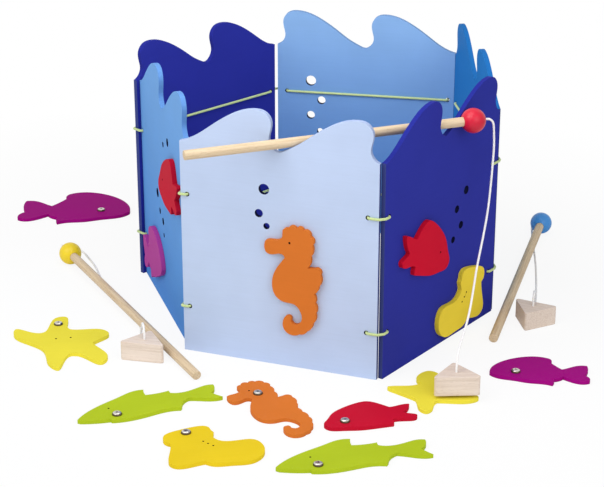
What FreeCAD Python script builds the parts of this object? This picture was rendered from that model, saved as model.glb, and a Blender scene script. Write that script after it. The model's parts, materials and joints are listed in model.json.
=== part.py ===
"""Magnetic fishing game: a laced tank of six wave-topped panels, three rods and nine sea creatures.

The layout frame has the front panel's outer bottom left corner at the origin, X along that panel,
Y towards the back of the tank and Z up. All lengths are millimetres.
"""
import FreeCAD, Part
import math
import os

import Sketcher

from FreeCAD import Placement, Rotation, Vector

doc = FreeCAD.newDocument("fishing_game")

SIZES = [
    ("panelwidth", 205.0),
    ("panelheight", 225.0),
    ("waverise", 40.0),
    ("panelthick", 5.0),
    ("jointfit", 0.3),
    ("plaquethick", 5.0),
    ("creaturethick", 4.0),
    ("lacingwidth", 2.6),
    ("lacingfit", 0.05),
    ("lacehole", 4.8),
    ("leftinset", 7.0),
    ("rightinset", 11.0),
    ("upperlace", 170.0),
    ("lowerlace", 49.5),
    ("redrodlength", 296.0),
    ("yellowrodlength", 336.0),
    ("bluerodlength", 316.0),
    ("dowelwidth", 9.5),
    ("dowelround", 0.8),
    ("socketfit", 0.05),
    ("ballwidth", 25.0),
    ("ballflat", 5.0),
    ("blockside", 49.0),
    ("blockdepth", 34.0),
    ("blockheight", 20.0),
    ("blockround", 2.5),
    ("magnetwidth", 12.0),
    ("magnetthick", 3.0),
    ("magnetfit", 0.1),
    ("restfit", 0.05),
    ("stringwidth", 2.2),
    ("screwhead", 9.4),
    ("screwrise", 2.6),
    ("screwflat", 5.2),
    ("shankwidth", 3.0),
    ("shanklength", 3.0),
    ("shankfit", 0.1),
    ("dimple", 1.8),
    ("dimpledepth", 1.5),
]
sheet = doc.addObject("Spreadsheet::Sheet", "sizes")
for row, (alias, value) in enumerate(SIZES, 1):
    sheet.set(f"A{row}", alias)
    sheet.set(f"B{row}", str(value))
    sheet.setAlias(f"B{row}", alias)
doc.recompute()
size = {alias: float(sheet.get(alias)) for alias, value in SIZES}

WIDTH = size["panelwidth"]
HEIGHT = size["panelheight"]
THICK = size["panelthick"]
FIT = size["jointfit"]
STAND = size["lacingwidth"] / 2 + size["lacingfit"]
DOWEL = size["dowelwidth"] / 2
BALL = size["ballwidth"] / 2

parts = []


def keep(item, label):
    item.Label = label
    parts.append(item)
    return item


# Outlines. Each is a start point and its runs. A run of one point is a straight line, a run of two
# is an arc through the first to the second, and a longer run is a smooth curve through them all.


def scallops(start, notches, bulge):
    runs = []
    for end in notches:
        chord = Vector(end[0] - start[0], end[1] - start[1], 0)
        out = Vector(-chord.y, chord.x, 0) * bulge
        runs.append([((start[0] + end[0]) / 2 + out.x, (start[1] + end[1]) / 2 + out.y), end])
        start = end
    return runs


SEAHORSE = [
    (88.5, 122.5),
    [(87, 128.5), (88.3, 134.2)],
    [(92, 135.4), (99, 135.7), (104.5, 137.5), (107, 141)],
    [(107.3, 147.5)],
    *scallops((107.3, 147.5), [(113, 149.7)], 0.18),
    *scallops((113, 149.7), [(122.3, 151), (130.3, 150), (138, 144), (139.8, 134.8)], 0.3),
    *scallops((139.8, 134.8), [(138, 122.5), (134.8, 110.5)], 0.16),
    [(142, 110.9)],
    [(148.6, 109.6), (149, 104)],
    *scallops((149, 104), [(147, 91.5), (141.5, 83.3)], 0.16),
    *scallops((141.5, 83.3), [(143, 73), (143.6, 61.5), (140.6, 50.5), (134.5, 41.5), (126, 37)], 0.16),
    [(118, 34.8), (110.8, 37.5), (107.4, 43), (107.6, 50), (111, 55), (114.5, 55.3), (116.3, 50)],
    [(121.8, 46.8), (127.3, 51), (127, 61.5), (120, 69), (108.5, 70.3), (99, 76), (95.3, 88),
     (97.6, 100.5), (103.5, 110.5), (109.7, 118.5)],
    [(105.5, 122), (97.5, 120.6), (92, 120.4), (88.5, 122.5)],
]
RED_FISH = [
    (34, 143.5),
    [(41, 142), (48, 137.6), (55, 134.3)],
    [(66, 142.7), (79, 148), (91, 142), (105, 128.5), (115, 113), (119.6, 97), (122, 87.5),
     (117.5, 80.3), (103, 79.4), (85, 81.5), (68, 86.8), (50.3, 93.3)],
    [(50, 98), (52, 102.8)],
    [(44, 106.2), (34, 107.5), (27, 111), (26, 115.5), (32, 118.8), (40.5, 122.5)],
    [(36, 131), (34, 143.5)],
]
BOOT = [
    (143, 67),
    [(147, 71.3), (158, 71.3), (174, 67), (188.5, 58.2), (189, 50), (183.5, 44)],
    [(184, 36), (187.3, 20), (187.2, 8.5), (183, 4.2), (168, 4.2), (154, 7.5)],
    [(147, 2.8), (130, 1.8), (111, 2.5), (98.5, 13), (96.3, 27), (103.5, 39.5), (118, 40.4),
     (131, 40.4), (142, 50)],
    [(140, 58.5)],
    [(141.8, 61.8), (143, 67)],
]
PURPLE_FISH = [
    (0, 0),
    [(5, 14), (18, 26.3), (34, 33.6), (50, 35.5), (64, 30.5)],
    [(66, 26.5), (64.5, 21)],
    [(68.8, 13), (74, 5.5)],
    [(81, 9), (88, 12.8), (100.5, 13.5)],
    [(99.6, 2), (94.5, -8)],
    [(98.8, -13), (98.5, -19.5)],
    [(90, -21.3), (81, -17.2), (73, -10.5)],
    [(68.5, -14.2), (63, -16)],
    [(62.6, -21), (60.5, -25)],
    [(51, -20.8), (38, -18.5), (23, -13), (9, -8.5), (0, 0)],
]
GREEN_FISH = [
    (0, 2),
    [(4, 9), (15, 22), (30, 34.5), (42, 43.5), (54, 52.5), (66.5, 55.3)],
    [(66.4, 49), (67.5, 43.5)],
    [(79, 45.1), (90.5, 49)],
    [(91.5, 44)],
    [(103, 43.2), (117, 49.4), (127, 54.6), (134.5, 55)],
    [(134.6, 46), (130, 38)],
    [(133.5, 34), (140.5, 27.5)],
    [(128, 26.2), (118, 28.6), (108, 30.5)],
    [(101.8, 23), (100, 15)],
    [(98.5, 11.5)],
    [(84, 10.6), (67, 4), (48, -2), (32, -3)],
    [(31, -0.9)],
    [(17, -1.4), (3, 0)],
    [(0, 2)],
]
STARFISH = [
    (-15.5, 17.3),
    [(-28.5, 17), (-42.5, 21.5), (-43.2, 15.5), (-32, 3), (-15, -8.5)],
    [(-8, -23), (-1.5, -37), (4.5, -41), (8, -31.5), (16.3, -18)],
    [(28.5, -24.5), (42, -31.5), (45.3, -26.5), (38.5, -11.5), (29.5, -1.5)],
    [(37, 6.8), (42.2, 14), (36.5, 20.8), (22, 21.8), (8.2, 21.2)],
    [(2.8, 32), (-1.5, 43.5), (-6.5, 43), (-12.6, 33), (-15.5, 17.3)],
]
STUBBY_STARFISH = [
    (-14.5, 12.4),
    [(-20.7, 4.4), (-34.8, -1.9), (-43.1, -7.2), (-34.5, -11.9), (-21.5, -16.8), (-11.1, -21.1)],
    [(-4.9, -32.9), (1.6, -41.5), (6.8, -42.6), (9.9, -38.4), (9.6, -27.6), (10.3, -17.9)],
    [(20.8, -14.8), (31.3, -11.8), (42.3, -5.6), (46, 2), (40, 6.5), (33, 8)],
    [(33, 14), (31, 21), (25, 24), (14, 22), (5, 22)],
    [(0, 30), (-5, 38), (-14, 40.5), (-20.2, 34.4), (-14.5, 12.4)],
]


def put(point, reference, mirrored=False, scale=(1, 1), angle=0, at=(0, 0)):
    """Moves an outline's point from its reference point to a place, mirrored, scaled and turned."""
    x = (point[0] - reference[0]) * scale[0] * (-1 if mirrored else 1)
    y = (point[1] - reference[1]) * scale[1]
    c, s = math.cos(math.radians(angle)), math.sin(math.radians(angle))
    return Vector(at[0] + c * x - s * y, at[1] + s * x + c * y, 0)


def outline_edges(outline, **how):
    start = put(outline[0], **how)
    edges = []
    for run in outline[1:]:
        points = [start] + [put(point, **how) for point in run]
        if len(points) == 2:
            edges.append(Part.LineSegment(*points))
        elif len(points) == 3:
            edges.append(Part.Arc(*points))
        else:
            curve = Part.BSplineCurve()
            curve.interpolate(points)
            edges.append(curve)
        start = points[-1]
    return edges


def body_sketch(body, plane, name):
    sketch = body.newObject("Sketcher::SketchObject", name)
    role = next(item for item in body.Origin.OriginFeatures if item.Role == plane)
    sketch.AttachmentSupport = [(role, "")]
    sketch.MapMode = "FlatFace"
    return sketch


def draw(sketch, edges):
    for edge in edges:
        sketch.addGeometry(edge, False)
    doc.recompute()


def circle(x, y, width):
    return Part.Circle(Vector(x, y, 0), Vector(0, 0, 1), width / 2)


def pad(body, sketch, alias, inward=False):
    solid = body.newObject("PartDesign::Pad", sketch.Name + "_pad")
    solid.Profile = sketch
    solid.setExpression("Length", f"sizes.{alias}")
    solid.Reversed = inward
    doc.recompute()
    return solid


def pocket(body, sketch, alias=None, outward=False):
    """Cuts through everything, or to a named depth from the sketch's plane."""
    uncut = body.Shape
    cut = body.newObject("PartDesign::Pocket", sketch.Name + "_pocket")
    cut.Profile = sketch
    if alias:
        cut.setExpression("Length", f"sizes.{alias}")
        cut.Reversed = outward
    else:
        cut.Type = "ThroughAll"
        cut.Midplane = True
    doc.recompute()
    assert len(body.Shape.Faces) > len(uncut.Faces), f"{cut.Name} cuts nothing"
    return cut


# The ring of six panels. Each has its outer bottom left corner, seen from outside, and a heading.


def along(heading):
    return Vector(math.cos(math.radians(heading)), math.sin(math.radians(heading)), 0)


def outward(heading):
    return Vector(math.sin(math.radians(heading)), -math.cos(math.radians(heading)), 0)


class Wall:
    def __init__(self, name, corner, heading):
        self.name = name
        self.corner = corner
        self.heading = heading
        self.placement = Placement(corner, Rotation(Vector(0, 0, 1), heading))

    def at(self, run, depth=0.0, height=0.0):
        """A point at a distance along the outside, depth counted inwards from the outer face."""
        return self.placement.multVec(Vector(run, depth, height))


def next_wall(name, previous, heading):
    """The next wall meets the previous one with their inner edges the joint's fit apart."""
    hinge = previous.at(WIDTH, THICK) + along((previous.heading + heading) / 2) * FIT
    return Wall(name, hinge + outward(heading) * THICK, heading)


FRONT_LEFT_HEADING = -53.0
FRONT_OVERHANG = 3.0
LEFT_OVERHANG = 4.0
BACK_GAP = 3.6

front = Wall("front", Vector(0, 0, 0), 0.0)
front_right = next_wall("front_right", front, 73.0)
back_right = next_wall("back_right", front_right, 117.1)
left_end = Vector(FRONT_OVERHANG, THICK + FIT, 0)
front_left = Wall("front_left", left_end - along(FRONT_LEFT_HEADING) * WIDTH, FRONT_LEFT_HEADING)

# The last two walls close the ring, so their shared corner is where two circles meet.
reach_back = WIDTH + BACK_GAP / 2
reach_left = WIDTH - LEFT_OVERHANG + BACK_GAP / 2
right_hinge = back_right.at(WIDTH, THICK) + along(152.5) * FIT
left_hinge = front_left.corner
span = left_hinge - right_hinge
foot = (reach_back**2 - reach_left**2 + span.Length**2) / (2 * span.Length)
rise = math.sqrt(reach_back**2 - foot**2)
unit = Vector(span).normalize()
apex = right_hinge + unit * foot + Vector(unit.y, -unit.x, 0) * rise


def heading_of(vector):
    return math.degrees(math.atan2(vector.y, vector.x))


back_heading = heading_of(apex - right_hinge) + 360
left_heading = heading_of(left_hinge - apex) + 360
back = Wall("back", right_hinge + outward(back_heading) * THICK, back_heading)
left_corner = left_hinge + along(left_heading) * (LEFT_OVERHANG - WIDTH)
back_left = Wall("back_left", left_corner + outward(left_heading) * (THICK + FIT), left_heading)
ring = [front, front_right, back_right, back, back_left, front_left]

# One wave of the top edge, as run and rise, with its overhanging front on the right.
WAVE = [
    (0.0, 0.0), (8.0, 2.4), (20.0, 9.0), (32.0, 17.8), (50.0, 30.0), (66.0, 37.6), (79.0, 40.0),
    (89.0, 38.2), (95.4, 30.0), (94.6, 19.0), (93.4, 11.5), (96.4, 4.2), (102.5, 0.0),
]
period = WIDTH / 2
stretch = period / WAVE[-1][0]
swell = size["waverise"] / max(y for x, y in WAVE)
crest = [Vector(x * stretch, HEIGHT + y * swell, 0) for x, y in WAVE]
crest += [Vector(x * stretch + period, HEIGHT + y * swell, 0) for x, y in WAVE[1:]]
top_edge = Part.BSplineCurve()
top_edge.interpolate(crest)

# Round holes like bubbles, as run, drop below the panel's straight height, and width.
BUBBLES = {
    "front": [(88, 39.5, 11), (82.5, 65, 8.5), (90.5, 77.5, 6.5)],
    "front_right": [(145, 69, 9), (128.5, 85, 8), (137, 104.5, 8), (123, 116.5, 7)],
    "back": [(166, 41.5, 12), (153.5, 64.5, 9.5), (166, 83, 9.5), (155, 102, 7)],
    "front_left": [(107, 38, 6), (128, 29, 9), (73, 103, 10), (83, 120, 7), (97, 127, 8), (99, 142, 5)],
}

for wall in ring:
    body = doc.addObject("PartDesign::Body", f"{wall.name}_body")
    sketch = body_sketch(body, "XZ_Plane", f"{wall.name}_outline")
    floor = [Vector(0, HEIGHT, 0), Vector(0, 0, 0), Vector(WIDTH, 0, 0), Vector(WIDTH, HEIGHT, 0)]
    sides = [Part.LineSegment(a, b) for a, b in zip(floor, floor[1:])]
    draw(sketch, sides + [top_edge])
    pad(body, sketch, "panelthick", inward=True)
    holes = body_sketch(body, "XZ_Plane", f"{wall.name}_holes")
    drilled = []
    for height in (size["upperlace"], size["lowerlace"]):
        drilled.append(circle(size["leftinset"], height, size["lacehole"]))
        drilled.append(circle(WIDTH - size["rightinset"], height, size["lacehole"]))
    for run, drop, width in BUBBLES.get(wall.name, []):
        drilled.append(circle(run * stretch, HEIGHT - drop, width))
    draw(holes, drilled)
    pocket(body, holes)
    body.Placement = wall.placement
    keep(body, f"panel_{wall.name}")

# Cords: straight runs joined by tangent arcs.


def corner_arc(before, corner, after, radius):
    """The start, middle and end of the arc that rounds a corner."""
    u = Vector(before - corner).normalize()
    v = Vector(after - corner).normalize()
    half = u.getAngle(v) / 2
    reach = radius / math.tan(half)
    centre = corner + Vector(u + v).normalize() * (radius / math.sin(half))
    middle = centre + Vector(corner - centre).normalize() * radius
    return corner + u * reach, middle, corner + v * reach


def rounded_wire(points, radii):
    edges = []
    start = points[0]
    for before, corner, after, radius in zip(points, points[1:], points[2:], radii):
        enter, middle, leave = corner_arc(before, corner, after, radius)
        if (enter - start).Length > 1e-4:
            edges.append(Part.LineSegment(start, enter).toShape())
        edges.append(Part.Arc(enter, middle, leave).toShape())
        start = leave
    edges.append(Part.LineSegment(start, points[-1]).toShape())
    return Part.Wire(edges)


def tube(wire, width):
    first = wire.OrderedEdges[0]
    start = first.valueAt(first.FirstParameter)
    direction = first.tangentAt(first.FirstParameter)
    profile = Part.Wire(Part.Circle(start, direction, width / 2).toShape())
    return wire.makePipeShell([profile], True, False)


def lacing(height):
    """One elastic cord: inside each panel, out near its right end, round the corner and in again."""
    bend = 2.4
    left = size["leftinset"]
    right = WIDTH - size["rightinset"]
    points = []
    radii = []

    def add(point, radius):
        points.append(Vector(point.x, point.y, height))
        radii.append(radius)

    def round_corner(corner, first, second):
        """Hugs a panel's vertical edge while the cord turns from one heading to the next."""
        half = math.radians(second - first) / 2
        add(corner + outward((first + second) / 2) * (STAND / math.cos(half)), STAND)

    knot = WIDTH * 0.55
    add(front.at(knot + 1.5, THICK + STAND), 0)
    for wall, following in zip(ring, ring[1:] + ring[:1]):
        if wall is not front:
            add(wall.at(left, THICK + STAND), bend)
        add(wall.at(right, THICK + STAND), bend)
        add(wall.at(right, -STAND), bend)
        turn = (wall.heading + following.heading) / 2
        if wall is back_left:
            add(wall.at(WIDTH + STAND, -STAND), STAND)
            mouth = following.at(left)
            normal = outward(following.heading)
            end_face = wall.at(WIDTH + STAND)
            away = along(wall.heading)
            step = (end_face - mouth).dot(away) / normal.dot(away)
            add(mouth + normal * step, bend)
        elif wall is front_left:
            lower = wall.at(right, -STAND)
            heading = along(wall.heading)
            add(lower + heading * ((-STAND - lower.x) / heading.x), bend)
            add(Vector(-STAND, -STAND, 0), STAND)
            add(following.at(left, -STAND), bend)
        else:
            round_corner(wall.at(WIDTH), wall.heading, turn)
            round_corner(following.at(0), turn, following.heading)
            add(following.at(left, -STAND), bend)
    add(front.at(left, THICK + STAND), bend)
    add(front.at(knot - 1.5, THICK + STAND), 0)
    cord = tube(rounded_wire(points, radii[1:-1]), size["lacingwidth"])
    width = size["lacingwidth"]
    centre = front.at(knot, THICK + STAND + width * 0.8, height)
    bead = Part.makeSphere(width * 1.2, centre)
    tail_a = Part.makeCylinder(width / 2, width * 3.6, centre, Vector(0.5, 1.0, 0.5))
    tail_b = Part.makeCylinder(width / 2, width * 3.0, centre, Vector(-0.6, 0.9, -0.5))
    return cord.fuse([bead, tail_a, tail_b]).removeSplitter()


for label, alias in (("lacing_cord_upper", "upperlace"), ("lacing_cord_lower", "lowerlace")):
    item = doc.addObject("Part::Feature", label)
    item.Shape = lacing(size[alias])
    keep(item, label)

# Plaques glued to the outside of the panels, drawn in the panel's own outside view: label, wall,
# outline, reference, mirrored, scale, turn, place and the eyes or lace holes.
PLAQUES = [
    ("plaque_seahorse", front, SEAHORSE, (0, 0), False, (0.94, 0.98), 0, (8, 2.8), [(115, 135)]),
    ("plaque_red_fish", front_right, RED_FISH, (103, 103), False, (0.88, 0.91), 1.2, (92.2, 106.4),
     [(103, 103)]),
    ("plaque_boot", front_right, BOOT, (140, 50), False, (0.93, 0.9), 1.7, (133.1, 50.5),
     [(152, 43), (148, 38.5), (143.5, 34)]),
    ("plaque_starfish_right", back_right, STARFISH, (0, 0), False, (1.2, 1.2), 8, (104, 120),
     [(-3.7, 5.5), (9, 7.5)]),
    ("plaque_green_fish", back, GREEN_FISH, (0, 0), True, (1, 1), 16, (168, 92), [(30.5, 21)]),
    ("plaque_starfish_left", back_left, STARFISH, (0, 0), True, (1.2, 1.2), -12, (98, 126),
     [(-3.7, 5.5), (9, 7.5)]),
    ("plaque_purple_fish", front_left, PURPLE_FISH, (45, 5), True, (0.9, 1.01), 5, (62.5, 46.8), []),
    ("plaque_red_fish_left", front_left, RED_FISH, (74, 110), True, (0.8, 0.97), -24, (146, 151),
     [(103, 103)]),
]
for label, wall, outline, reference, mirrored, scale, angle, at, dimples in PLAQUES:
    place = (at[0] * stretch, at[1])
    how = dict(reference=reference, mirrored=mirrored, scale=scale, angle=angle, at=place)
    body = doc.addObject("PartDesign::Body", f"{label}_body")
    sketch = body_sketch(body, "XZ_Plane", f"{label}_outline")
    draw(sketch, outline_edges(outline, **how))
    pad(body, sketch, "plaquethick")
    if dimples:
        marks = body_sketch(body, "XZ_Plane", f"{label}_dimples")
        marks.AttachmentOffset = Placement(Vector(0, 0, size["plaquethick"]), Rotation())
        spots = [put(point, **how) for point in dimples]
        draw(marks, [circle(spot.x, spot.y, size["dimple"]) for spot in spots])
        pocket(body, marks, "dimpledepth")
    body.Placement = wall.placement
    keep(body, label)

# Loose creatures lying on the floor: label, outline, reference, mirrored, scale, turn, place,
# the pickup screw and the eyes or lace holes.
CREATURES = [
    ("seahorse", SEAHORSE, (87, 129), False, (0.91, 1.01), 48, (86.2, -94.3), (120.4, 125.7),
     [(115, 135)]),
    ("boot", BOOT, (190.5, 56.5), True, (0.96, 1.04), 29.3, (57.9, -186.3), (166.6, 60.8),
     [(152, 43), (148, 38.5), (143.5, 34)]),
    ("red_fish", RED_FISH, (122, 87), True, (0.91, 0.79), 17.7, (189.6, -111.2), (100.5, 95),
     [(103, 103)]),
    ("purple_fish_left", PURPLE_FISH, (0, 0), True, (1.33, 1.7), 14.5, (-214.6, 325.7), (26.5, 0), []),
    ("purple_fish_right", PURPLE_FISH, (0, 0), False, (0.98, 0.98), 19.8, (306.9, 48.7), (26.5, 0), []),
    ("green_fish_left", GREEN_FISH, (0, 0), False, (1, 0.98), 29.8, (-29, -184.4), (37.5, 7),
     [(30.5, 21)]),
    ("green_fish_right", GREEN_FISH, (0, 0), False, (1.01, 1.01), 19.4, (177, -205), (37.5, 7),
     [(30.5, 21)]),
    ("starfish_left", STARFISH, (0, 0), False, (1.16, 1.44), 20.3, (-124.3, -35.9), (-5.3, 30),
     [(-3.7, 5.5), (9, 7.5)]),
    ("starfish_right", STUBBY_STARFISH, (0, 0), False, (1, 1), 0, (265, -10), (23, 2), []),
]


def screw():
    """A pan head wood screw with a cross recess, its head's underside at the origin."""
    head = size["screwhead"] / 2
    high = size["screwrise"]
    flat = size["screwflat"] / 2
    shank = size["shankwidth"] / 2
    length = size["shanklength"]
    side = Part.Arc(Vector(head, 0, 0.6), Vector(head * 0.87, 0, high * 0.73), Vector(flat, 0, high))
    corners = [
        Vector(flat, 0, high), Vector(0, 0, high), Vector(0, 0, -length), Vector(shank * 0.4, 0, -length),
        Vector(shank, 0, -length * 0.6), Vector(shank, 0, 0), Vector(head, 0, 0), Vector(head, 0, 0.6),
    ]
    edges = [side.toShape()] + [Part.makeLine(a, b) for a, b in zip(corners, corners[1:])]
    solid = Part.Face(Part.Wire(edges)).revolve(Vector(0, 0, 0), Vector(0, 0, 1), 360)
    arm, wide, deep = 3.6, 0.8, 1.0
    for turn in (0, 90):
        slot = Part.makeBox(arm, wide, deep, Vector(-arm / 2, -wide / 2, high - deep))
        slot.rotate(Vector(0, 0, 0), Vector(0, 0, 1), turn + 20)
        solid = solid.cut(slot)
    return solid


# What lies in front and to the right keeps to the right end of a front panel of any width, and what
# belongs to the blue rod keeps to the far end of the next panel.
LEFT_OF_TANK = -100.0
growth = WIDTH - 2 * WAVE[-1][0]
far_shift = (along(front.heading) + along(front_right.heading)) * growth


def on_floor(x, y):
    return (x if x < LEFT_OF_TANK else x + growth, y)


def far_right(x, y):
    return (x + far_shift.x, y + far_shift.y)


screws = []
for label, outline, reference, mirrored, scale, angle, place, hole, dimples in CREATURES:
    how = dict(reference=reference, mirrored=mirrored, scale=scale)
    body = doc.addObject("PartDesign::Body", f"{label}_body")
    sketch = body_sketch(body, "XY_Plane", f"{label}_outline")
    draw(sketch, outline_edges(outline, **how))
    pad(body, sketch, "creaturethick")
    centre = put(hole, **how)
    shaft = body_sketch(body, "XY_Plane", f"{label}_pilot")
    shaft.AttachmentOffset = Placement(Vector(0, 0, size["creaturethick"]), Rotation())
    draw(shaft, [circle(centre.x, centre.y, size["shankwidth"] + 2 * size["shankfit"])])
    pocket(body, shaft, "shanklength")
    marks = [put(point, **how) for point in dimples]
    if marks:
        eyes = body_sketch(body, "XY_Plane", f"{label}_dimples")
        eyes.AttachmentOffset = Placement(Vector(0, 0, size["creaturethick"]), Rotation())
        draw(eyes, [circle(mark.x, mark.y, size["dimple"]) for mark in marks])
        pocket(body, eyes, "dimpledepth")
    body.Placement = Placement(Vector(*on_floor(*place), 0), Rotation(Vector(0, 0, 1), angle))
    keep(body, label)
    top = body.Placement.multVec(centre + Vector(0, 0, size["creaturethick"]))
    fastener = screw()
    fastener.translate(top)
    screws.append(fastener)
item = doc.addObject("Part::Feature", "screws")
item.Shape = Part.makeCompound(screws)
keep(item, "pickup_screws")
snag = screws[-1].BoundBox

# Rods. Each runs from its free end to its ball's centre.


def flat_rod(centre, heading, length):
    """A rod on the floor: the ball and the free end touch it, with the rod's middle over a point."""
    nip = size["dowelround"]
    tilt = 0.0
    for step in range(6):
        tilt = math.asin((BALL - DOWEL * math.cos(tilt)) / (length - nip))
    direction = along(heading) * math.cos(tilt) + Vector(0, 0, math.sin(tilt))
    ball_centre = Vector(*centre, BALL) + along(heading) * (length / 2 * math.cos(tilt))
    return ball_centre - direction * length, direction


def edge_height(run, slope_point, direction, wall):
    """The height of the rod's axis, at a point over a wall, at which it just clears the top edge."""
    best = 0.0
    for sample in top_edge.toShape().discretize(600):
        if abs(sample.x - run) > 25:
            continue
        for depth in (0.0, THICK / 2, THICK):
            spot = wall.at(sample.x, depth)
            offset = Vector(spot.x - slope_point.x, spot.y - slope_point.y, 0)
            level = Vector(direction.x, direction.y, 0).normalize()
            forward = offset.dot(level)
            aside = (offset - level * forward).Length
            if aside < DOWEL:
                climb = forward * direction.z / math.hypot(direction.x, direction.y)
                best = max(best, sample.y + math.sqrt(DOWEL**2 - aside**2) - climb)
    return best


# The red rod lies across the front and the front right panel, in the valley of each wave.
FRONT_CROSSING = 108.5 * stretch
SIDE_CROSSING = 109.5 * stretch
BALL_BEYOND = 27.5
first = front.at(FRONT_CROSSING, THICK / 2)
second = front_right.at(SIDE_CROSSING, THICK / 2)
first.z = second.z = HEIGHT + DOWEL
for step in range(4):
    direction = Vector(second - first).normalize()
    first.z = edge_height(FRONT_CROSSING, first, direction, front) + size["restfit"]
    second.z = edge_height(SIDE_CROSSING, second, direction, front_right) + size["restfit"]
direction = Vector(second - first).normalize()
red_centre = second + direction * BALL_BEYOND
red = (red_centre - direction * size["redrodlength"], direction)
yellow = flat_rod((-86.4, 51.3), 138.4, size["yellowrodlength"])
blue = flat_rod(far_right(280.2, 280.1), 94.15, size["bluerodlength"])
print("red rod heights", round(first.z, 2), round(second.z, 2), "heading", round(heading_of(direction), 2))

BALL_PROFILE_DEPTH = math.sqrt(BALL**2 - (DOWEL + size["socketfit"]) ** 2)
FLAT_DEPTH = math.sqrt(BALL**2 - (size["ballflat"] / 2) ** 2)


def make_rod(colour, start, direction):
    turn = Rotation(Vector(0, 0, 1), direction)
    body = doc.addObject("PartDesign::Body", f"{colour}_dowel_body")
    sketch = body_sketch(body, "XY_Plane", f"{colour}_dowel_end")
    draw(sketch, [circle(0, 0, size["dowelwidth"])])
    sketch.addConstraint(Sketcher.Constraint("Diameter", 0, size["dowelwidth"]))
    sketch.setExpression("Constraints[0]", "sizes.dowelwidth")
    shaft = pad(body, sketch, f"{colour}rodlength")
    rim = next(
        f"Edge{i}" for i, edge in enumerate(shaft.Shape.Edges, 1)
        if edge.BoundBox.ZMax < 1e-6
    )
    soften = body.newObject("PartDesign::Fillet", f"{colour}_dowel_soften")
    soften.Base = (shaft, [rim])
    soften.setExpression("Radius", "sizes.dowelround")
    doc.recompute()
    body.Placement = Placement(start, turn)
    keep(body, f"{colour}_rod_dowel")

    body = doc.addObject("PartDesign::Body", f"{colour}_ball_body")
    sketch = body_sketch(body, "XZ_Plane", f"{colour}_ball_profile")
    socket = DOWEL + size["socketfit"]
    flat = size["ballflat"] / 2
    low = Vector(socket, -BALL_PROFILE_DEPTH, 0)
    high = Vector(flat, FLAT_DEPTH, 0)
    corners = [high, Vector(0, FLAT_DEPTH, 0), Vector(0, 0, 0), Vector(socket, 0, 0), low]
    edges = [Part.LineSegment(a, b) for a, b in zip(corners, corners[1:])]
    draw(sketch, edges + [Part.Arc(low, Vector(BALL, 0, 0), high)])
    turned = body.newObject("PartDesign::Revolution", f"{colour}_ball_turned")
    turned.Profile = sketch
    turned.ReferenceAxis = (sketch, ["V_Axis"])
    turned.Angle = 360
    doc.recompute()
    ball_centre = start + direction * size[f"{colour}rodlength"]
    body.Placement = Placement(ball_centre, turn)
    keep(body, f"{colour}_rod_ball")
    return ball_centre + direction * FLAT_DEPTH


def make_block(colour, centre, heading, level):
    """A triangular block whose long edge has a heading, with a disc magnet let into its underside."""
    half = size["blockside"] / 2
    depth = size["blockdepth"]
    turn = Rotation(Vector(0, 0, 1), heading)
    body = doc.addObject("PartDesign::Body", f"{colour}_block_body")
    sketch = body_sketch(body, "XY_Plane", f"{colour}_block_outline")
    corners = [Vector(-half, -depth / 3, 0), Vector(half, -depth / 3, 0), Vector(0, depth * 2 / 3, 0)]
    arcs = [
        corner_arc(corners[i - 1], corners[i], corners[i - 2], size["blockround"]) for i in range(3)
    ]
    edges = [Part.Arc(*arc) for arc in arcs]
    edges += [Part.LineSegment(arcs[i - 1][2], arcs[i][0]) for i in range(3)]
    draw(sketch, edges)
    pad(body, sketch, "blockheight")
    seat = body_sketch(body, "XY_Plane", f"{colour}_magnet_seat")
    draw(seat, [circle(0, 0, size["magnetwidth"] + 2 * size["magnetfit"])])
    pocket(body, seat, "magnetthick", outward=True)
    body.Placement = Placement(Vector(*centre, level), turn)
    keep(body, f"{colour}_block")
    disc = doc.addObject("Part::Cylinder", f"{colour}_disc")
    disc.setExpression("Radius", "sizes.magnetwidth / 2")
    disc.setExpression("Height", "sizes.magnetthick")
    disc.Placement = Placement(Vector(*centre, level), Rotation())
    keep(disc, f"{colour}_magnet")
    return Vector(*centre, level + size["blockheight"])


def make_string(colour, start, direction, way, landing):
    """A limp cord from the ball to the block, its arcs as wide as its runs allow."""
    points = [start, start + direction * LEAD[colour]] + [Vector(*point) for point in way] + landing
    radii = []
    for before, corner, after in zip(points, points[1:], points[2:]):
        u = Vector(before - corner)
        v = Vector(after - corner)
        turn = math.pi - u.getAngle(v)
        radii.append(0.45 * min(u.Length, v.Length) / math.tan(turn / 2))
    wire = rounded_wire(points, radii)
    item = doc.addObject("Part::Feature", f"{colour}_string")
    item.Shape = tube(wire, size["stringwidth"])
    keep(item, f"{colour}_string")
    area = math.pi * size["stringwidth"] ** 2 / 4
    ratio = item.Shape.Volume / (area * wire.Length)
    runs = [round((b - a).Length, 1) for a, b in zip(points, points[1:])]
    print(colour, "string length", round(wire.Length, 1), "volume ratio", round(ratio, 4))
    print("  runs", runs, "radii", [round(radius, 1) for radius in radii])


LOW = size["stringwidth"] / 2 + 0.1
LEAD = {"red": 4.2, "yellow": 9.0, "blue": 9.0}
LANDING = [(44, -17.6), (30, -3.5), (18.5, 9.8), (6.2, 13.6), (0, 9), (0, 0)]


def landing(top, bearing):
    """Points from the floor over a block's edge and down into its top centre."""
    return [top + along(bearing) * away + Vector(0, 0, above) for away, above in LANDING]


red_start = make_rod("red", *red)
yellow_start = make_rod("yellow", *yellow)
blue_start = make_rod("blue", *blue)
red_top = make_block("red", (snag.Center.x, snag.Center.y), 22.7, snag.ZMax)
yellow_top = make_block("yellow", (-30.5, -30.5), 7.7, 0.0)
blue_top = make_block("blue", far_right(318.5, 183.5), 172.8, 0.0)

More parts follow.
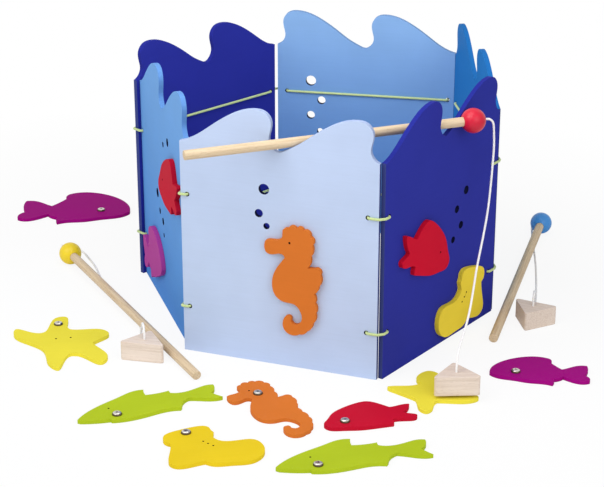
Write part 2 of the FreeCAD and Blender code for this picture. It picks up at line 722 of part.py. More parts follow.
red_way = [
    (276.6, 139.2, 233.6), (278.2, 140.5, 230.0), (278.7, 140.8, 222.0), (279.7, 140.4, 208.0),
    (279.4, 139.0, 189.0), (279.0, 136.0, 166.0), (279.8, 125.0, 142.0), (280.3, 106.0, 119.0),
    (281.2, 84.0, 100.0), (283.4, 64.0, 82.0), (285.4, 44.0, 66.0), (286.2, 24.0, 55.0),
    (286.8, 8.5, 49.5),
]
make_string("red", red_start, red[1], red_way, [red_top + Vector(0, 0, 15), red_top])

yellow_way = [
    (-235.0, 185.0, 11.0), (-237.5, 196.0, 4.6), (-227.5, 203.5, 1.5), (-213.5, 197.0, LOW),
    (-198.0, 181.0, LOW), (-180.0, 161.5, LOW), (-164.0, 139.0, LOW), (-139.0, 107.0, LOW),
    (-114.5, 76.5, LOW), (-88.0, 49.5, LOW), (-65.5, 28.0, LOW),
]
make_string("yellow", yellow_start, yellow[1], yellow_way, landing(yellow_top, 121))

blue_way = [
    (264.5, 468.5, 11.5), (254.5, 474.0, 6.0), (246.0, 465.5, 1.7), (245.5, 449.5, LOW),
    (252.0, 427.0, LOW), (262.5, 404.0, LOW), (275.0, 378.0, LOW), (286.0, 339.0, LOW),
    (296.0, 299.0, LOW), (304.0, 264.0, LOW), (308.0, 245.5, LOW),
]
blue_way = [(*far_right(x, y), z) for x, y, z in blue_way]
make_string("blue", blue_start, blue[1], blue_way, landing(blue_top, 99))

# The part's origin is on the floor under the middle of everything but the strings and their loads.
doc.recompute()
box = FreeCAD.BoundBox()
for item in parts:
    if not item.Label.endswith(("_string", "_block", "_magnet")):
        box.add(item.Shape.optimalBoundingBox())
shift = Placement(Vector(-box.Center.x, -box.Center.y, -box.ZMin), Rotation())
for item in parts:
    item.Placement = shift * item.Placement
doc.recompute()
print("extents", round(box.XLength, 2), round(box.YLength, 2), round(box.ZLength, 2))
print("layout origin", round(shift.Base.x, 3), round(shift.Base.y, 3), round(shift.Base.z, 3))

os.makedirs("parts", exist_ok=True)
for item in doc.Objects:
    assert "Invalid" not in item.State and "Error" not in item.State, (item.Name, item.State)
for item in parts:
    shape = item.Shape
    assert not shape.isNull() and shape.isValid() and shape.Solids, item.Label
    shape.exportStep(f"parts/{item.Label}.step")
    print(item.Label, len(shape.Solids), "solid,", len(shape.Faces), "faces,", round(shape.Volume, 1))
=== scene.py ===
"""Looks for the magnetic fishing game: painted plywood, bare beech, elastic, string and small steel."""
import json
import math

import bmesh
import bpy
from mathutils import Matrix, Vector


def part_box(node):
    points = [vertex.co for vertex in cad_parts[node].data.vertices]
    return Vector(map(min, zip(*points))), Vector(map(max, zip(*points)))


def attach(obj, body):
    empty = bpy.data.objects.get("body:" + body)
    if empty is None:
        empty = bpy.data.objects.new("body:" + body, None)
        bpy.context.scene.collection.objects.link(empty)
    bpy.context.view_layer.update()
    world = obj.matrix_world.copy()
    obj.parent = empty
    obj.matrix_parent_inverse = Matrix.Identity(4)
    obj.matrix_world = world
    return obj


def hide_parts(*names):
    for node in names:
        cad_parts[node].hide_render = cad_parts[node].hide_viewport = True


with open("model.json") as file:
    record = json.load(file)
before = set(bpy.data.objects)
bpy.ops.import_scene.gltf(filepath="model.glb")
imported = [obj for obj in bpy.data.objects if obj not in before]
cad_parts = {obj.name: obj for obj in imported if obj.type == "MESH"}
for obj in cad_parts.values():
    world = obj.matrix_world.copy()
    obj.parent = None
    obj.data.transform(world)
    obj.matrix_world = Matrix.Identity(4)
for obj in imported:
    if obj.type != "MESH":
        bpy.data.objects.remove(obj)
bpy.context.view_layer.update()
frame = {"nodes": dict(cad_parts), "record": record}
MM = 0.001

# The layout's origin is the front panel's outer bottom left corner, as in the part.
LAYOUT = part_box("panel_front")[0]


def place(x, y, z=0.0):
    return LAYOUT + Vector((x, y, z)) * MM


# Camera

CAMERA_PLACE = (676.3, -1505.1, 788.2)
CAMERA_HEADING = 110.04
CAMERA_PITCH = 22.20
CAMERA_LENS = 106.36


def make_camera():
    data = bpy.data.cameras.new("camera")
    data.sensor_width = 36.0
    data.lens = CAMERA_LENS
    data.clip_start = 0.05
    camera = bpy.data.objects.new("camera", data)
    bpy.context.scene.collection.objects.link(camera)
    heading = math.radians(CAMERA_HEADING)
    pitch = math.radians(CAMERA_PITCH)
    level = Vector((math.cos(heading), math.sin(heading), 0)) * math.cos(pitch)
    look = level - Vector((0, 0, math.sin(pitch)))
    camera.rotation_euler = look.to_track_quat("-Z", "Y").to_euler()
    camera.location = place(*CAMERA_PLACE)
    bpy.context.scene.camera = camera


# Materials


def srgb(red, green, blue):
    """A colour read as 0 to 255 display values, as the linear colour that shows it."""
    linear = []
    for value in (red, green, blue):
        value /= 255
        linear.append(value / 12.92 if value <= 0.04045 else ((value + 0.055) / 1.055) ** 2.4)
    return (*linear, 1.0)


def shade(colour, factor):
    return (*[min(1.0, channel * factor) for channel in colour[:3]], 1.0)


class Nodes:
    """A small builder for one material's node tree."""

    def __init__(self, name):
        self.material = bpy.data.materials.new(name)
        self.material.use_nodes = True
        self.tree = self.material.node_tree
        self.shader = self.tree.nodes["Principled BSDF"]

    def add(self, kind, **values):
        node = self.tree.nodes.new(kind)
        for name, value in values.items():
            if hasattr(node, name):
                setattr(node, name, value)
            else:
                node.inputs[name.replace("_", " ")].default_value = value
        return node

    def link(self, output, socket):
        self.tree.links.new(output, socket)

    def coordinates(self, scale=(1, 1, 1), turn=(0, 0, 0)):
        source = self.add("ShaderNodeTexCoord")
        mapping = self.add("ShaderNodeMapping")
        mapping.inputs["Scale"].default_value = scale
        mapping.inputs["Rotation"].default_value = turn
        self.link(source.outputs["Object"], mapping.inputs["Vector"])
        return mapping.outputs["Vector"]

    def noise(self, vector, scale, detail=4.0, roughness=0.5):
        node = self.add("ShaderNodeTexNoise")
        node.inputs["Scale"].default_value = scale
        node.inputs["Detail"].default_value = detail
        node.inputs["Roughness"].default_value = roughness
        self.link(vector, node.inputs["Vector"])
        return node.outputs["Fac"]

    def ramp(self, value, stops):
        node = self.add("ShaderNodeValToRGB")
        elements = node.color_ramp.elements
        while len(elements) < len(stops):
            elements.new(0.5)
        for element, (position, colour) in zip(elements, stops):
            element.position = position
            element.color = colour
        self.link(value, node.inputs["Fac"])
        return node.outputs["Color"]

    def span(self, value, low, high):
        node = self.add("ShaderNodeMapRange")
        node.inputs["To Min"].default_value = low
        node.inputs["To Max"].default_value = high
        self.link(value, node.inputs["Value"])
        return node.outputs["Result"]

    def mottled(self, value, colour):
        return self.ramp(value, [(0.3, shade(colour, 0.955)), (0.7, shade(colour, 1.035))])

    def blend(self, factor, first, second, mode="MIX"):
        node = self.add("ShaderNodeMix", data_type="RGBA", blend_type=mode)
        if isinstance(factor, float):
            node.inputs["Factor"].default_value = factor
        else:
            self.link(factor, node.inputs["Factor"])
        for value, socket in ((first, node.inputs[6]), (second, node.inputs[7])):
            if isinstance(value, tuple):
                socket.default_value = value
            else:
                self.link(value, socket)
        return node.outputs[2]

    def bump(self, height, strength, distance, under=None):
        node = self.add("ShaderNodeBump")
        node.inputs["Strength"].default_value = strength
        node.inputs["Distance"].default_value = distance
        self.link(height, node.inputs["Height"])
        if under is not None:
            self.link(under, node.inputs["Normal"])
        return node.outputs["Normal"]

    def finish(self, colour=None, roughness=None, normal=None):
        if colour is not None:
            self.link(colour, self.shader.inputs["Base Color"])
        if roughness is not None:
            self.link(roughness, self.shader.inputs["Roughness"])
        if normal is not None:
            self.link(normal, self.shader.inputs["Normal"])
        return self.material


# The panels' even paints. These, and the ones with painted shade towards the foot, take painted shade on
# a panel's sawn edges, a little darker.
FLAT_PAINTS = ("pale_blue_paint", "dark_blue_paint", "deep_blue_paint")
# A paint with painted shade, deeper towards the foot, changes over this much above and below the panel's
# middle, in metres.
SHADE_FADE = 0.115


def paint(name, colour, gloss=0.5, grain=0.35, low=None, specular=0.02):
    """Brushed satin paint on plywood: mottled colour, faint grain and pores telegraphing through.

    A panel may take painted shade, from a paler top to a deeper foot, over its own height.
    """
    nodes = Nodes(name)
    long_way = nodes.coordinates(scale=(3, 60, 60))
    even = nodes.coordinates()
    fibres = nodes.noise(long_way, 9.0, 6.0, 0.6)
    mottle = nodes.noise(even, 14.0, 3.0)
    specks = nodes.noise(even, 900.0, 2.0)
    base = nodes.mottled(mottle, colour)
    # Painted shade: the colour deepens from the panel's top to its foot.
    if low is not None:
        split = nodes.add("ShaderNodeSeparateXYZ")
        nodes.link(even, split.inputs["Vector"])
        shade_climb = nodes.add("ShaderNodeMapRange")
        shade_climb.inputs["From Min"].default_value = -SHADE_FADE
        shade_climb.inputs["From Max"].default_value = SHADE_FADE
        nodes.link(split.outputs["Z"], shade_climb.inputs["Value"])
        base = nodes.blend(shade_climb.outputs["Result"], nodes.mottled(mottle, low), base)
    # Painted shade: faces turned away from the panel's own Y, its sawn edges, come out darker.
    if low is not None or name in FLAT_PAINTS:
        source = nodes.add("ShaderNodeTexCoord")
        facing = nodes.add("ShaderNodeSeparateXYZ")
        nodes.link(source.outputs["Normal"], facing.inputs["Vector"])
        square = nodes.add("ShaderNodeMath", operation="ABSOLUTE")
        nodes.link(facing.outputs["Y"], square.inputs[0])
        painted_edge_shade = (0.70, 0.72, 0.80, 1)
        edge_shade = nodes.ramp(square.outputs["Value"], [(0.2, painted_edge_shade), (0.8, (1, 1, 1, 1))])
        base = nodes.blend(1.0, base, edge_shade, "MULTIPLY")
    streak = nodes.ramp(fibres, [(0.35, (0.95, 0.95, 0.95, 1)), (0.62, (1.0, 1.0, 1.0, 1))])
    mixed = nodes.blend(0.4, base, streak, "MULTIPLY")
    rough = nodes.span(mottle, gloss - 0.05, gloss + 0.07)
    lap = nodes.bump(fibres, grain, 0.00018)
    normal = nodes.bump(specks, 0.12, 0.00006, lap)
    nodes.shader.inputs["Specular IOR Level"].default_value = specular
    return nodes.finish(mixed, rough, normal)


def bare_wood(name, colour, dark, length_scale=(2.5, 90, 90), fleck_scale=(120, 900, 900)):
    """Sanded beech: long fibres, short dark pores and a slow change of tone.

    The grain runs along the axis whose scale is the small one, X unless it is given.
    """
    nodes = Nodes(name)
    stretched = nodes.coordinates(scale=length_scale)
    flecked = nodes.coordinates(scale=fleck_scale)
    even = nodes.coordinates()
    fibres = nodes.noise(stretched, 8.0, 8.0, 0.62)
    pores = nodes.noise(flecked, 1.6, 2.0)
    tone = nodes.noise(even, 22.0, 2.0)
    grain = nodes.ramp(fibres, [(0.30, dark), (0.55, colour), (0.78, shade(colour, 1.06))])
    fleck = nodes.ramp(pores, [(0.30, shade(dark, 0.72)), (0.40, (1, 1, 1, 1))])
    toned = nodes.ramp(tone, [(0.3, (0.94, 0.93, 0.92, 1)), (0.7, (1, 1, 1, 1))])
    mixed = nodes.blend(0.28, grain, fleck, "MULTIPLY")
    mixed = nodes.blend(0.5, mixed, toned, "MULTIPLY")
    rough = nodes.span(fibres, 0.5, 0.68)
    normal = nodes.bump(fibres, 0.3, 0.00015)
    return nodes.finish(mixed, rough, normal)


def braid(name, colour, pitch=1.0):
    """Braided cord: small raised strands with a little fuzz between them, with painted shade in the
    creases.
    """
    nodes = Nodes(name)
    even = nodes.coordinates()
    strands = nodes.add("ShaderNodeTexVoronoi")
    strands.inputs["Scale"].default_value = 1500.0 * pitch
    nodes.link(even, strands.inputs["Vector"])
    fuzz = nodes.noise(even, 2600.0 * pitch, 3.0)
    # Painted highlight and shade: each strand paler on its crown and darker towards the creases between
    # strands.
    strand_shade = [(0.0, shade(colour, 1.05)), (0.75, shade(colour, 0.90))]
    shaded_strands = nodes.ramp(strands.outputs["Distance"], strand_shade)
    fuzzed = nodes.ramp(fuzz, [(0.3, shade(colour, 0.92)), (0.7, colour)])
    mixed = nodes.blend(0.25, shaded_strands, fuzzed)
    weave = nodes.bump(strands.outputs["Distance"], 0.5, 0.00025)
    normal = nodes.bump(fuzz, 0.3, 0.0001, weave)
    nodes.shader.inputs["Roughness"].default_value = 0.85
    nodes.shader.inputs["Sheen Weight"].default_value = 0.25
    return nodes.finish(mixed, None, normal)


def metal(name, colour, rough):
    """Plated steel with fine scuffs."""
    nodes = Nodes(name)
    even = nodes.coordinates()
    scuffs = nodes.noise(even, 1400.0, 4.0)
    tone = nodes.noise(even, 300.0, 2.0)
    base = nodes.ramp(tone, [(0.3, shade(colour, 0.86)), (0.7, colour)])
    nodes.shader.inputs["Metallic"].default_value = 1.0
    roughness = nodes.span(scuffs, rough - 0.08, rough + 0.1)
    normal = nodes.bump(scuffs, 0.15, 0.00004)
    return nodes.finish(base, roughness, normal)


PAINTS = {
    "pale_blue_paint": srgb(188, 204, 234),
    "dark_blue_paint": srgb(46, 52, 154),
    "deep_blue_paint": srgb(42, 122, 192),
    "orange_paint": srgb(212, 117, 48),
    "red_paint": srgb(194, 20, 48),
    "yellow_paint": srgb(230, 200, 36),
    "star_paint": srgb(233, 219, 66),
    "green_paint": srgb(176, 195, 38),
    "purple_paint": srgb(158, 12, 124),
    "light_red_paint": srgb(204, 18, 48),
    "light_yellow_paint": srgb(242, 216, 66),
    "light_purple_paint": srgb(179, 66, 153),
}
material = {name: paint(name, colour) for name, colour in PAINTS.items()}
# The front left panel's mid blue, with painted shade deeper towards its foot.
material["mid_blue_paint"] = paint("mid_blue_paint", srgb(114, 166, 226), low=srgb(80, 142, 216))
# The back panel's mid blue, made lighter for painted light, with painted shade deeper towards its foot.
material["lit_mid_blue_paint"] = paint("lit_mid_blue_paint", srgb(138, 178, 224), low=srgb(82, 134, 200))
material["red_gloss_paint"] = paint("red_gloss_paint", srgb(204, 26, 54), 0.3, 0.1, specular=0.3)
material["yellow_gloss_paint"] = paint("yellow_gloss_paint", srgb(242, 212, 42), 0.3, 0.1, specular=0.3)
material["blue_gloss_paint"] = paint("blue_gloss_paint", srgb(72, 148, 220), 0.3, 0.1, specular=0.3)
material["bare_dowel"] = bare_wood(
    "bare_dowel", srgb(218, 196, 163), srgb(192, 164, 128), (90, 90, 2.5), (900, 900, 120)
)
material["bare_block"] = bare_wood("bare_block", srgb(230, 214, 200), srgb(212, 192, 174))
material["lime_elastic"] = braid("lime_elastic", srgb(198, 216, 148), 0.8)
material["white_string"] = braid("white_string", srgb(254, 253, 252), 1.0)
material["screw_steel"] = metal("screw_steel", (0.66, 0.63, 0.58, 1), 0.24)
# Painted shade: a dark copy of the screw steel for the sides of the heads.
material["screw_shade"] = metal("screw_shade", (0.13, 0.10, 0.07, 1), 0.4)
material["magnet_steel"] = metal("magnet_steel", (0.5, 0.5, 0.5, 1), 0.3)
# Painted shade inside the small blind holes.
material["dimple_shade"] = paint("dimple_shade", srgb(46, 30, 20), 0.8)
# Painted shade on the walls of a panel's drilled holes.
material["hole_shade"] = paint("hole_shade", srgb(24, 26, 58), 0.8)
material["seam_shade"] = paint("seam_shade", srgb(62, 72, 132), 0.7)

# Pieces


def link(piece):
    bpy.context.scene.collection.objects.link(piece)
    return piece


def wear(piece, name):
    """Gives a piece one material, in place of those it has."""
    piece.data.materials.clear()
    piece.data.materials.append(material[name])


def smooth(mesh, angle=32):
    mesh.polygons.foreach_set("use_smooth", [True] * len(mesh.polygons))
    mesh.set_sharp_from_angle(angle=math.radians(angle))
    mesh.update()


def stand_for(piece, node):
    """Lets a piece take a CAD node's place."""
    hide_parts(node)
    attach(piece, "root")
    return piece


def sanded(node, name, edge, heading):
    """A node's own form with its sharp edges sanded round, its grain along its own length."""
    low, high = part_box(node)
    middle = (low + high) / 2
    local = Matrix.Translation(middle) @ Matrix.Rotation(math.radians(heading), 4, "Z")
    form = bmesh.new()
    form.from_mesh(frame["nodes"][node].data)
    form.transform(local.inverted())
    bmesh.ops.remove_doubles(form, verts=form.verts, dist=2e-6)
    bmesh.ops.dissolve_limit(form, angle_limit=math.radians(0.5), verts=form.verts, edges=form.edges)
    sharp = math.radians(50)
    rims = [e for e in form.edges if len(e.link_faces) == 2 and e.calc_face_angle(0) > sharp]
    bmesh.ops.bevel(
        form, geom=rims, offset=edge * MM, offset_type="OFFSET", segments=3,
        profile=0.5, affect="EDGES", clamp_overlap=True,
    )
    if node in PANELS:
        darken_holes(form)
        darken_ends(form)
    mesh = bpy.data.meshes.new(f"{node}_sanded")
    form.to_mesh(mesh)
    form.free()
    smooth(mesh)
    piece = link(bpy.data.objects.new(f"{node}_sanded", mesh))
    piece.matrix_world = local
    even = piece.modifiers.new("even_normals", "WEIGHTED_NORMAL")
    even.keep_sharp = True
    even.weight = 100
    mesh.materials.append(material[name])
    if node in PANELS:
        mesh.materials.append(material["hole_shade"])
        mesh.materials.append(material["seam_shade"])
    else:
        darken_dimples(piece)
    return stand_for(piece, node)


# A panel lies along its own X, with its faces towards its own Y. Lengths are millimetres.
WIDEST_HOLE = 14
LARGEST_NORMAL_ACROSS = 0.35
END_NORMAL = 0.9
END_DEPTH = 0.5
MATERIAL_OF_HOLES = 1
MATERIAL_OF_ENDS = 2


def darken_holes(form):
    """Marks the walls of a panel's drilled holes for painted shade: the small separate groups of faces
    across it.
    """
    across = {f for f in form.faces if abs(f.normal.y) < LARGEST_NORMAL_ACROSS}
    while across:
        group = [across.pop()]
        for face in group:
            for edge in face.edges:
                near = [f for f in edge.link_faces if f in across]
                across.difference_update(near)
                group.extend(near)
        xs = [v.co.x for f in group for v in f.verts]
        if max(xs) - min(xs) < WIDEST_HOLE * MM:
            for face in group:
                face.material_index = MATERIAL_OF_HOLES


def darken_ends(form):
    """Marks a panel's two upright end faces, which meet its neighbours in a shaded seam."""
    half = max(v.co.x for v in form.verts)
    for face in form.faces:
        out = abs(face.calc_center_median().x)
        if abs(face.normal.x) > END_NORMAL and out > half - END_DEPTH * MM:
            face.material_index = MATERIAL_OF_ENDS


# A dimple's floor is a small face of many sides, with its wall close about it. Millimetres.
FLOOR_SIDES = 12
FLOOR_AREA = 4
DIMPLE_RISE = 2.5
DIMPLE_REACH = 1.7
WALL_AREA = 5


def darken_dimples(piece):
    """Gives the small blind holes, the eyes and the lace holes of the boots, a dark brown inside:
    painted shade in the hollow and on its sanded rim.
    """
    mesh = piece.data
    floors = [f for f in mesh.polygons if len(f.vertices) >= FLOOR_SIDES and f.area < FLOOR_AREA * MM**2]
    if not floors:
        return
    mesh.materials.append(material["dimple_shade"])
    for floor in floors:
        for face in mesh.polygons:
            offset = face.center - floor.center
            rise = offset.dot(floor.normal)
            aside = (offset - floor.normal * rise).length
            near = rise < DIMPLE_RISE * MM and aside < DIMPLE_REACH * MM
            if near and face.area < WALL_AREA * MM**2:
                face.material_index = MATERIAL_OF_HOLES


SLOT_OF = {entry["node"]: entry["material_slot"] for entry in frame["record"]["subparts"]}

# Each wall's heading, seen from above: 0 along the front panel.
FRONT = 0.0
FRONT_RIGHT = 73.0
BACK_RIGHT = 117.1
BACK = 189.0
BACK_LEFT = 244.4
FRONT_LEFT = -53.0

PANELS = {
    "panel_front": ("pale_blue_paint", FRONT),
    "panel_front_right": ("dark_blue_paint", FRONT_RIGHT),
    "panel_back_right": ("deep_blue_paint", BACK_RIGHT),
    "panel_back": ("lit_mid_blue_paint", BACK),
    "panel_back_left": ("dark_blue_paint", BACK_LEFT),
    "panel_front_left": ("mid_blue_paint", FRONT_LEFT),
}
PLAQUES = {
    "plaque_seahorse": ("orange_paint", FRONT),
    "plaque_red_fish": ("light_red_paint", FRONT_RIGHT),
    "plaque_boot": ("light_yellow_paint", FRONT_RIGHT),
    "plaque_starfish_right": ("star_paint", BACK_RIGHT),
    "plaque_green_fish": ("green_paint", BACK),
    "plaque_starfish_left": ("star_paint", BACK_LEFT),
    "plaque_purple_fish": ("light_purple_paint", FRONT_LEFT),
    "plaque_red_fish_left": ("red_paint", FRONT_LEFT),
}
CREATURES = {
    "seahorse": ("orange_paint", 138.0),
    "boot": ("yellow_paint", 29.3),
    "red_fish": ("red_paint", 17.7),
    "purple_fish_left": ("purple_paint", 14.5),
    "purple_fish_right": ("purple_paint", 19.8),
    "green_fish_left": ("green_paint", 29.8),
    "green_fish_right": ("green_paint", 19.4),
    "starfish_left": ("star_paint", 20.3),
    "starfish_right": ("star_paint", 20.0),
}
BLOCKS = {
    "red_block": ("bare_block", 22.7),
    "yellow_block": ("bare_block", 7.7),
    "blue_block": ("bare_block", 172.8),
}
SCREW_TOP_NORMAL = 0.72
ROUND_ANGLE = 40


def dress_boards():
    for group, edge in ((PANELS, 0.2), (PLAQUES, 0.6), (CREATURES, 0.6), (BLOCKS, 0.8)):
        for node, (name, heading) in group.items():
            sanded(node, name, edge, heading)


def dress_small():
    for node in ("lacing_cord_upper", "lacing_cord_lower", "pickup_screws"):
        item = frame["nodes"][node]
        wear(item, SLOT_OF[node])
        smooth(item.data, ROUND_ANGLE)
    screws = frame["nodes"]["pickup_screws"].data
    # All but the tops of the screw heads take the dark steel: painted shade on their sides.
    screws.materials.append(material["screw_shade"])
    for face in screws.polygons:
        face.material_index = 0 if face.normal.z > SCREW_TOP_NORMAL else 1
    for colour in ("red", "yellow", "blue"):
        item = frame["nodes"][f"{colour}_magnet"]
        wear(item, "magnet_steel")
        smooth(item.data, ROUND_ANGLE)


# Rods, from the free end to the ball, in millimetres

DOWEL = 4.75
BALL = 12.5
FLAT = math.sqrt(BALL**2 - 2.5**2)
ROD = {"red": 296.0, "yellow": 336.0, "blue": 316.0}
DOWEL_ROUND = 0.8
FREE_END = 1.6
SOCKET = DOWEL + 0.05
SOCKET_LIP = 0.3
STRING_HOLE = 1.5
STRING_HOLE_DEPTH = 3.0


def spun(name, profile, turn, sides=64):
    """A turned form: a profile of radius and height, spun about its own axis."""
    form = bmesh.new()
    points = [form.verts.new(Vector((radius * MM, 0, height * MM))) for radius, height in profile]
    edges = [form.edges.new(pair) for pair in zip(points, points[1:])]
    bmesh.ops.spin(
        form, geom=points + edges, cent=(0, 0, 0), axis=(0, 0, 1), angle=2 * math.pi,
        steps=sides, use_duplicate=False,
    )
    bmesh.ops.remove_doubles(form, verts=form.verts, dist=1e-7)
    bmesh.ops.recalc_face_normals(form, faces=form.faces)
    mesh = bpy.data.meshes.new(name)
    form.to_mesh(mesh)
    form.free()
    smooth(mesh, ROUND_ANGLE)
    piece = link(bpy.data.objects.new(name, mesh))
    piece.matrix_world = turn
    return piece


def corner(radius, height, nip, start, end, steps=5):
    """Points round a quarter turn of a profile, about a centre at a radius and height."""
    angles = [math.radians(start + (end - start) * i / steps) for i in range(steps + 1)]
    return [(radius + nip * math.cos(a), height + nip * math.sin(a)) for a in angles]


def rod_axis(colour):
    """The ball's centre and the direction to it from the free end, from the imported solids."""
    low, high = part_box(f"{colour}_rod_ball")
    centre = (low + high) / 2
    verts = [v.co for v in frame["nodes"][f"{colour}_rod_dowel"].data.vertices]
    far = max(verts, key=lambda co: (co - centre).length)
    reach = (far - centre).length
    end = [co for co in verts if (co - centre).length > reach - FREE_END * MM]
    tip = sum(end, Vector()) / len(end)
    return centre, (centre - tip).normalized()


def dress_rods():
    for colour, length in ROD.items():
        centre, direction = rod_axis(colour)
        turn = Matrix.Translation(centre) @ direction.to_track_quat("Z", "Y").to_matrix().to_4x4()
        foot = -length
        profile = [(0.0, foot)]
        profile += corner(DOWEL - DOWEL_ROUND, foot + DOWEL_ROUND, DOWEL_ROUND, -90, 0)
        profile += [(DOWEL, foot + ring) for ring in (60, 140, 220)]
        profile += [(DOWEL, 0.0), (0.0, 0.0)]
        dowel = spun(f"{colour}_dowel_turned", profile, turn)
        wear(dowel, "bare_dowel")
        stand_for(dowel, f"{colour}_rod_dowel")

        lip = SOCKET + SOCKET_LIP
        start = -math.degrees(math.acos(lip / BALL))
        profile = [(0.0, 0.0), (SOCKET, 0.0), (SOCKET, -math.sqrt(BALL**2 - lip**2) + 0.25)]
        profile += corner(0, 0, BALL, start, 80.5, 36)
        bottom = FLAT - STRING_HOLE_DEPTH
        profile += [(STRING_HOLE + 0.3, FLAT - 0.02), (STRING_HOLE, FLAT - 0.35)]
        profile += [(STRING_HOLE, bottom), (0.0, bottom)]
        ball = spun(f"{colour}_ball_turned", profile, turn)
        wear(ball, f"{colour}_gloss_paint")
        stand_for(ball, f"{colour}_rod_ball")


# Strings, from the ball's flat to the block. Their ways are in the layout's millimetres.

STRING = 2.2
LOW = STRING / 2 + 0.1
LEAD = {"red": 4.2, "yellow": 9.0, "blue": 9.0}
LANDING = [(44, -17.6), (30, -3.5), (18.5, 9.8), (6.2, 13.6), (0, 9), (0, 0)]

# Where ball and dowel hide yellow and blue, these two lie a little closer in than their tubes.
RED_WAY = [
    (276.6, 139.2, 233.6), (278.2, 140.5, 230.0), (278.7, 140.8, 222.0), (279.7, 140.4, 208.0),
    (279.4, 139.0, 189.0), (279.0, 136.0, 166.0), (279.8, 125.0, 142.0), (280.3, 106.0, 119.0),
    (281.2, 84.0, 100.0), (283.4, 64.0, 82.0), (285.4, 44.0, 66.0), (286.2, 24.0, 55.0),
    (286.8, 8.5, 49.5),
]
YELLOW_WAY = [
    (-235.0, 185.0, 11.0), (-237.5, 196.0, 4.6), (-227.5, 203.5, 1.5), (-213.5, 197.0, LOW),
    (-198.0, 181.0, LOW), (-180.0, 161.5, LOW), (-164.0, 139.0, LOW), (-139.0, 107.0, LOW),
    (-111.0, 80.5, LOW), (-84.5, 53.5, LOW), (-62.5, 31.0, LOW),
]
BLUE_WAY = [
    (266.5, 468.0, 11.5), (261.5, 473.0, 6.0), (254.0, 470.5, 1.7), (253.5, 456.5, LOW),
    (259.5, 433.0, LOW), (266.0, 406.0, LOW), (275.0, 378.0, LOW), (286.0, 339.0, LOW),
    (296.0, 299.0, LOW), (304.0, 264.0, LOW), (308.0, 245.5, LOW),
]
YELLOW_BEARING = 121
BLUE_BEARING = 99
RED_DROP = 15


def block_top(colour):
    """The middle of a block's top, above its magnet."""
    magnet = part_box(f"{colour}_magnet")
    middle = (magnet[0] + magnet[1]) / 2
    return Vector((middle.x, middle.y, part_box(f"{colour}_block")[1].z))


def landing(top, bearing):
    """Points from the floor over a block's edge and down into its top centre."""
    way = Vector((math.cos(math.radians(bearing)), math.sin(math.radians(bearing)), 0))
    return [top + (way * away + Vector((0, 0, above))) * MM for away, above in LANDING]


def make_string(colour, way, end):
    """A string straight out of its ball, along its way and into its block."""
    centre, direction = rod_axis(colour)
    start = centre + direction * FLAT * MM
    points = [start, start + direction * LEAD[colour] * MM] + [place(*point) for point in way] + end
    curve = bpy.data.curves.new(f"{colour}_line", "CURVE")
    curve.dimensions = "3D"
    curve.bevel_depth = STRING / 2 * MM
    curve.bevel_resolution = 5
    curve.resolution_u = 10
    curve.use_fill_caps = True
    spline = curve.splines.new("NURBS")
    spline.points.add(len(points) - 1)
    for item, point in zip(spline.points, points):
        item.co = (*point, 1.0)
    spline.order_u = 3
    spline.use_endpoint_u = True
    piece = link(bpy.data.objects.new(f"{colour}_line", curve))
    piece.data.materials.append(material["white_string"])
    stand_for(piece, f"{colour}_string")


def make_strings():
    red_end = block_top("red")
    above = red_end + Vector((0, 0, RED_DROP * MM))
    make_string("red", RED_WAY, [above, red_end])
    make_string("yellow", YELLOW_WAY, landing(block_top("yellow"), YELLOW_BEARING))
    make_string("blue", BLUE_WAY, landing(block_top("blue"), BLUE_BEARING))


# Stage

# The camera sees the floor this white near the object, and fully white beyond, in metres.
FLOOR_WHITE = 0.87
NEAR = 0.35
BEYOND = 0.75
FLOOR_REACH = 6.0


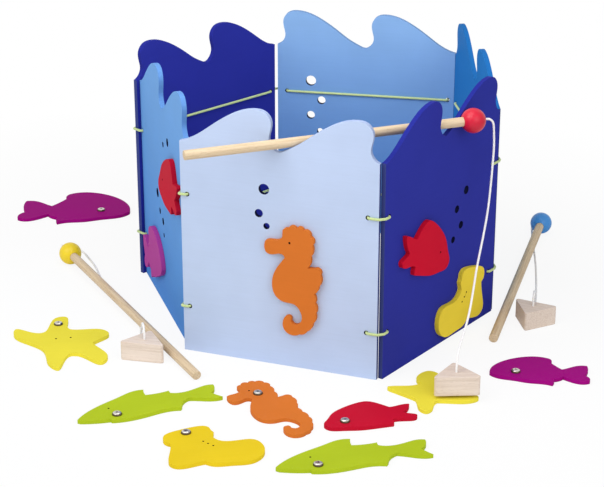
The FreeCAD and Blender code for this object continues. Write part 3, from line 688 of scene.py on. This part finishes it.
def make_floor():
    """A white floor that keeps the shadows near the object."""
    form = bmesh.new()
    bmesh.ops.create_grid(form, x_segments=1, y_segments=1, size=FLOOR_REACH)
    mesh = bpy.data.meshes.new("floor")
    form.to_mesh(mesh)
    form.free()
    floor = link(bpy.data.objects.new("floor", mesh))
    floor.location = (0, 0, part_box("panel_front")[0].z)
    nodes = Nodes("floor_white")
    nodes.shader.inputs["Base Color"].default_value = (0.93, 0.93, 0.93, 1)
    nodes.shader.inputs["Roughness"].default_value = 0.9
    nodes.shader.inputs["Specular IOR Level"].default_value = 0.1
    white = nodes.add("ShaderNodeEmission", Strength=1.0)
    spot = nodes.add("ShaderNodeNewGeometry")
    away = nodes.add("ShaderNodeVectorMath", operation="DISTANCE")
    away.inputs[1].default_value = floor.location
    nodes.link(spot.outputs["Position"], away.inputs[0])
    clear = nodes.add("ShaderNodeMapRange")
    clear.inputs["From Min"].default_value = NEAR
    clear.inputs["From Max"].default_value = BEYOND
    clear.inputs["To Min"].default_value = FLOOR_WHITE
    clear.inputs["To Max"].default_value = 1.0
    nodes.link(away.outputs["Value"], clear.inputs["Value"])
    rays = nodes.add("ShaderNodeLightPath")
    share = nodes.add("ShaderNodeMath", operation="MULTIPLY")
    nodes.link(clear.outputs["Result"], share.inputs[1])
    nodes.link(rays.outputs["Is Camera Ray"], share.inputs[0])
    mix = nodes.add("ShaderNodeMixShader")
    nodes.link(share.outputs["Value"], mix.inputs["Fac"])
    nodes.link(nodes.shader.outputs["BSDF"], mix.inputs[1])
    nodes.link(white.outputs["Emission"], mix.inputs[2])
    nodes.link(mix.outputs["Shader"], nodes.tree.nodes["Material Output"].inputs["Surface"])
    floor.data.materials.append(nodes.material)


def make_world():
    """Plain white light all round, which the camera and glossy surfaces see as full white."""
    world = bpy.data.worlds.new("studio")
    bpy.context.scene.world = world
    world.use_nodes = True
    tree = world.node_tree
    plain = tree.nodes["Background"]
    plain.inputs["Color"].default_value = (1, 1, 1, 1)
    plain.inputs["Strength"].default_value = 0.475
    seen = tree.nodes.new("ShaderNodeBackground")
    seen.inputs["Color"].default_value = (1, 1, 1, 1)
    seen.inputs["Strength"].default_value = 1.0
    rays = tree.nodes.new("ShaderNodeLightPath")
    either = tree.nodes.new("ShaderNodeMath")
    either.operation = "MAXIMUM"
    tree.links.new(rays.outputs["Is Camera Ray"], either.inputs[0])
    tree.links.new(rays.outputs["Is Glossy Ray"], either.inputs[1])
    mix = tree.nodes.new("ShaderNodeMixShader")
    tree.links.new(either.outputs["Value"], mix.inputs["Fac"])
    tree.links.new(plain.outputs["Background"], mix.inputs[1])
    tree.links.new(seen.outputs["Background"], mix.inputs[2])
    tree.links.new(mix.outputs["Shader"], tree.nodes["World Output"].inputs["Surface"])


def make_lamp(name, where, aim, width, watts):
    data = bpy.data.lights.new(name, "AREA")
    data.shape = "SQUARE"
    data.size = width
    data.energy = watts
    lamp = link(bpy.data.objects.new(name, data))
    lamp.location = place(*where)
    lamp.rotation_euler = (place(*aim) - lamp.location).to_track_quat("-Z", "Y").to_euler()


def make_lights():
    make_world()
    make_lamp("key_softbox", (-650, -1000, 1300), (80, 100, 60), 1.3, 13)
    make_lamp("fill_softbox", (1300, -900, 1000), (80, 100, 80), 1.4, 10)
    make_lamp("inner_softbox", (90, 30, 620), (90, 380, 190), 0.4, 1.45)


make_camera()
dress_boards()
dress_small()
dress_rods()
make_strings()
make_floor()
make_lights()

settings = bpy.context.scene.view_settings
settings.view_transform = "Standard"

bpy.context.view_layer.update()
